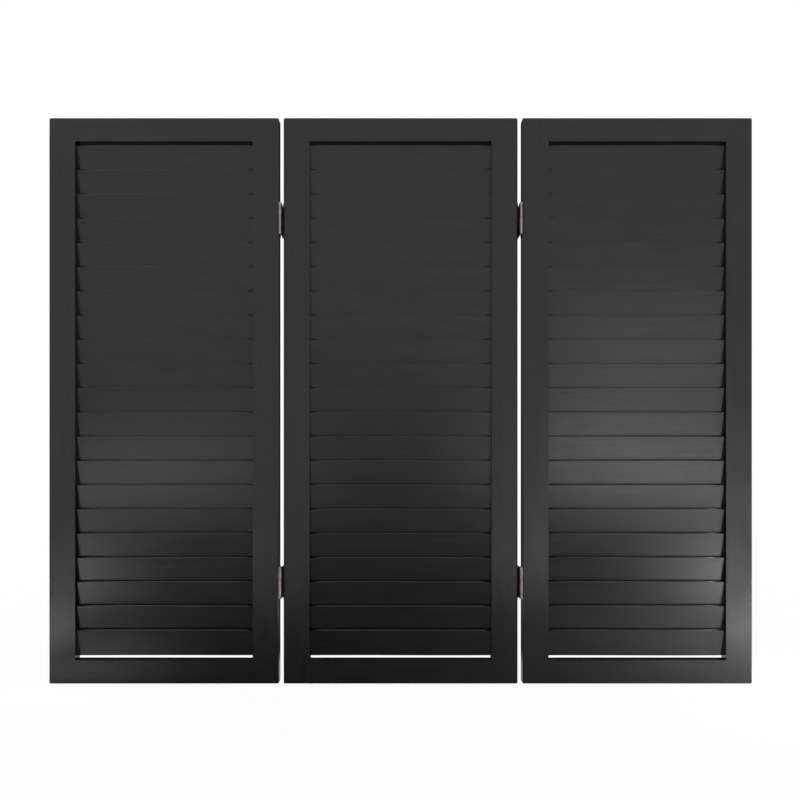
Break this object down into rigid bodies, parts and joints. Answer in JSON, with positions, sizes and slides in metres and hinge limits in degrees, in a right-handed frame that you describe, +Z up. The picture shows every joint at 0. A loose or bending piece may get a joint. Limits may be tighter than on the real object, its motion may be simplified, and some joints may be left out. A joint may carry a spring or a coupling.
{
  "type": "louvered folding screen",
  "caption": "Free-standing louvered folding screen: framed panels of overlapping slanted slats, joined by double-action hinges so each wing folds forward or back.",
  "frame": {"origin": "on the floor under the middle of the centre panel, halfway through its thickness", "axes": "+X along the flat screen to the viewer's right, +Y from the front face to the back, +Z up"},
  "size_m": [1.1356, 0.0344, 0.914],
  "materials": {
    "painted_frame": "satin black paint over wood, grain faintly showing",
    "painted_slats": "satin black paint over wood, grain faintly showing",
    "hinge_metal": "antique copper plated steel, satin"
  },
  "bodies": {
    "centre_panel": {"centre_left_stile": "painted_frame", "centre_right_stile": "painted_frame", "centre_top_rail": "painted_frame", "centre_bottom_rail": "painted_frame", "centre_slats": "painted_slats", "left_upper_centre_leaf": "hinge_metal", "left_lower_centre_leaf": "hinge_metal", "right_upper_centre_leaf": "hinge_metal", "right_lower_centre_leaf": "hinge_metal"},
    "left_links": {"left_upper_link_leaf": "hinge_metal", "left_lower_link_leaf": "hinge_metal"},
    "left_panel": {"left_outer_stile": "painted_frame", "left_hinge_stile": "painted_frame", "left_top_rail": "painted_frame", "left_bottom_rail": "painted_frame", "left_slats": "painted_slats", "left_upper_wing_leaf": "hinge_metal", "left_lower_wing_leaf": "hinge_metal"},
    "right_links": {"right_upper_link_leaf": "hinge_metal", "right_lower_link_leaf": "hinge_metal"},
    "right_panel": {"right_hinge_stile": "painted_frame", "right_outer_stile": "painted_frame", "right_top_rail": "painted_frame", "right_bottom_rail": "painted_frame", "right_slats": "painted_slats", "right_upper_wing_leaf": "hinge_metal", "right_lower_wing_leaf": "hinge_metal"}
  },
  "joints": [
    {"name": "left_back_fold", "type": "hinge", "parent": "centre_panel", "child": "left_links", "pos_m": [-0.1912, 0.015, 0.457], "axis": [0, 0, -1], "range_deg": [0, 90]},
    {"name": "left_front_fold", "type": "hinge", "parent": "left_links", "child": "left_panel", "pos_m": [-0.1946, -0.015, 0.457], "axis": [0, 0, 1], "range_deg": [0, 180]},
    {"name": "right_back_fold", "type": "hinge", "parent": "centre_panel", "child": "right_links", "pos_m": [0.1912, 0.015, 0.457], "axis": [0, 0, 1], "range_deg": [0, 180]},
    {"name": "right_front_fold", "type": "hinge", "parent": "right_links", "child": "right_panel", "pos_m": [0.1946, -0.015, 0.457], "axis": [0, 0, -1], "range_deg": [0, 90]}
  ]
}
